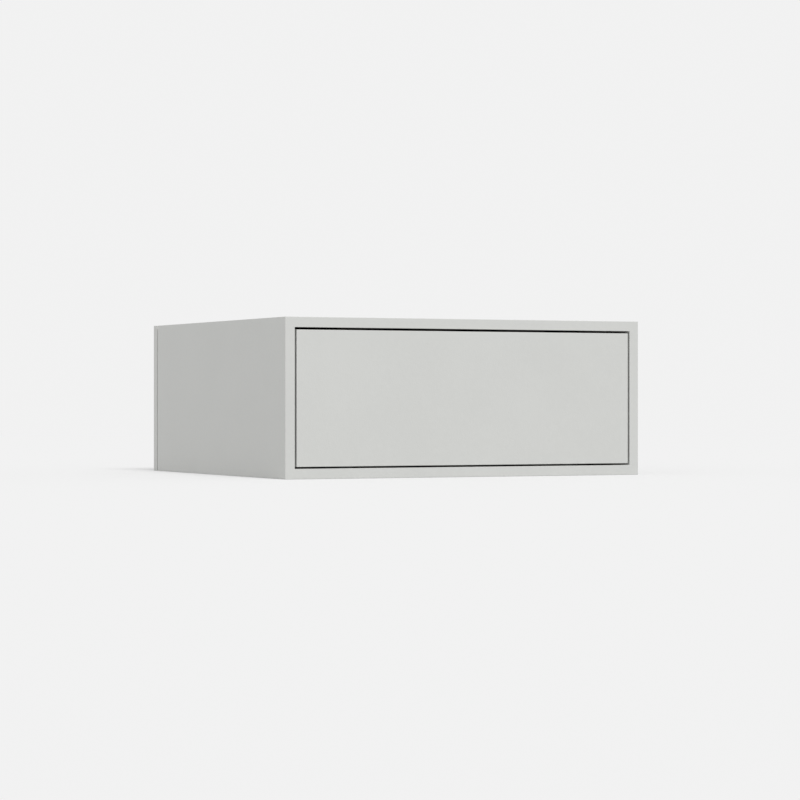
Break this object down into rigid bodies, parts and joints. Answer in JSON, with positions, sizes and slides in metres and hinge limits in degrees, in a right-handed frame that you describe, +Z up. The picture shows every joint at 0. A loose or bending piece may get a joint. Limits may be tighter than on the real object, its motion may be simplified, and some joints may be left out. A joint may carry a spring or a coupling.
{
  "type": "drawer cabinet module",
  "caption": "Low, wide cabinet of light grey lacquered boards with mitred corners and a flush inset push-to-open drawer on ball-bearing runners; flat top and base for stacking.",
  "frame": {"origin": "middle of the underside, on the surface that the cabinet stands on", "axes": "+X along the width to the right, +Y from the drawer front to the back, +Z up"},
  "size_m": [0.625, 0.582, 0.25],
  "materials": {
    "light_grey_lacquer": "satin lacquer on fibreboard",
    "lacquered_birch": "clear matt lacquer on birch plywood",
    "beech": "raw",
    "zinc_plated_rail": "bright zinc plated",
    "zinc_plated_screw": "bright zinc plated",
    "polished_steel": "polished",
    "cage_steel": "oiled sheet steel",
    "magnet": "nickel plated",
    "grey_plastic": "fine moulded grain",
    "black_plastic": "fine moulded grain"
  },
  "bodies": {
    "cabinet": {"left_panel": "light_grey_lacquer", "right_panel": "light_grey_lacquer", "top_panel": "light_grey_lacquer", "bottom_panel": "light_grey_lacquer", "corner_biscuits": "beech", "back_panel": "light_grey_lacquer", "back_screws": "zinc_plated_screw", "cabinet_rail_left": "zinc_plated_rail", "cabinet_rail_right": "zinc_plated_rail", "cabinet_rail_screws": "zinc_plated_screw", "rail_buffers": "black_plastic", "ejector_housing_left": "grey_plastic", "ejector_housing_right": "grey_plastic", "ejector_screws": "zinc_plated_screw", "ejector_spring_left": "polished_steel", "ejector_spring_right": "polished_steel"},
    "left_ejector": {"ejector_plunger_left": "black_plastic", "ejector_magnet_left": "magnet"},
    "right_ejector": {"ejector_plunger_right": "black_plastic", "ejector_magnet_right": "magnet"},
    "drawer": {"drawer_front": "light_grey_lacquer", "drawer_side_left": "lacquered_birch", "drawer_side_right": "lacquered_birch", "drawer_inner_front": "lacquered_birch", "drawer_back": "lacquered_birch", "drawer_bottom": "lacquered_birch", "drawer_dowels": "beech", "front_screws": "zinc_plated_screw", "bottom_screws": "zinc_plated_screw", "drawer_rail_left": "zinc_plated_rail", "drawer_rail_right": "zinc_plated_rail", "drawer_rail_screws": "zinc_plated_screw", "strike_plates": "zinc_plated_screw", "strike_plate_screws": "zinc_plated_screw"},
    "left_middle_rail": {"middle_rail_left": "zinc_plated_rail"},
    "left_outer_cage": {"outer_cage_left": "cage_steel", "outer_balls_left": "polished_steel"},
    "left_inner_cage": {"inner_cage_left": "cage_steel", "inner_balls_left": "polished_steel"},
    "right_middle_rail": {"middle_rail_right": "zinc_plated_rail"},
    "right_outer_cage": {"outer_cage_right": "cage_steel", "outer_balls_right": "polished_steel"},
    "right_inner_cage": {"inner_cage_right": "cage_steel", "inner_balls_right": "polished_steel"}
  },
  "joints": [
    {"name": "press_eject", "type": "slide", "parent": "cabinet", "child": "left_ejector", "axis": [0, -1, 0], "range_m": [-0.003, 0.035], "deforming": ["ejector_spring_left"]},
    {"name": "press_eject_right", "type": "slide", "parent": "cabinet", "child": "right_ejector", "axis": [0, -1, 0], "range_m": [-0.003, 0.035], "deforming": ["ejector_spring_right"]},
    {"name": "drawer_slide", "type": "slide", "parent": "left_ejector", "child": "drawer", "axis": [0, -1, 0], "range_m": [0, 0.465]},
    {"name": "middle_rail_slide_left", "type": "slide", "parent": "cabinet", "child": "left_middle_rail", "axis": [0, -1, 0], "range_m": [0, 0.2325]},
    {"name": "outer_cage_roll_left", "type": "slide", "parent": "cabinet", "child": "left_outer_cage", "axis": [0, -1, 0], "range_m": [0, 0.11625]},
    {"name": "inner_cage_roll_left", "type": "slide", "parent": "left_middle_rail", "child": "left_inner_cage", "axis": [0, -1, 0], "range_m": [0, 0.11625]},
    {"name": "middle_rail_slide_right", "type": "slide", "parent": "cabinet", "child": "right_middle_rail", "axis": [0, -1, 0], "range_m": [0, 0.2325]},
    {"name": "outer_cage_roll_right", "type": "slide", "parent": "cabinet", "child": "right_outer_cage", "axis": [0, -1, 0], "range_m": [0, 0.11625]},
    {"name": "inner_cage_roll_right", "type": "slide", "parent": "right_middle_rail", "child": "right_inner_cage", "axis": [0, -1, 0], "range_m": [0, 0.11625]}
  ],
  "couplings": [
    {"joint": "press_eject_right", "follows": "press_eject", "ratio": 1},
    {"joint": "middle_rail_slide_left", "follows": "drawer_slide", "ratio": 0.5},
    {"joint": "outer_cage_roll_left", "follows": "drawer_slide", "ratio": 0.25},
    {"joint": "inner_cage_roll_left", "follows": "drawer_slide", "ratio": 0.25},
    {"joint": "middle_rail_slide_right", "follows": "drawer_slide", "ratio": 0.5},
    {"joint": "outer_cage_roll_right", "follows": "drawer_slide", "ratio": 0.25},
    {"joint": "inner_cage_roll_right", "follows": "drawer_slide", "ratio": 0.25}
  ]
}
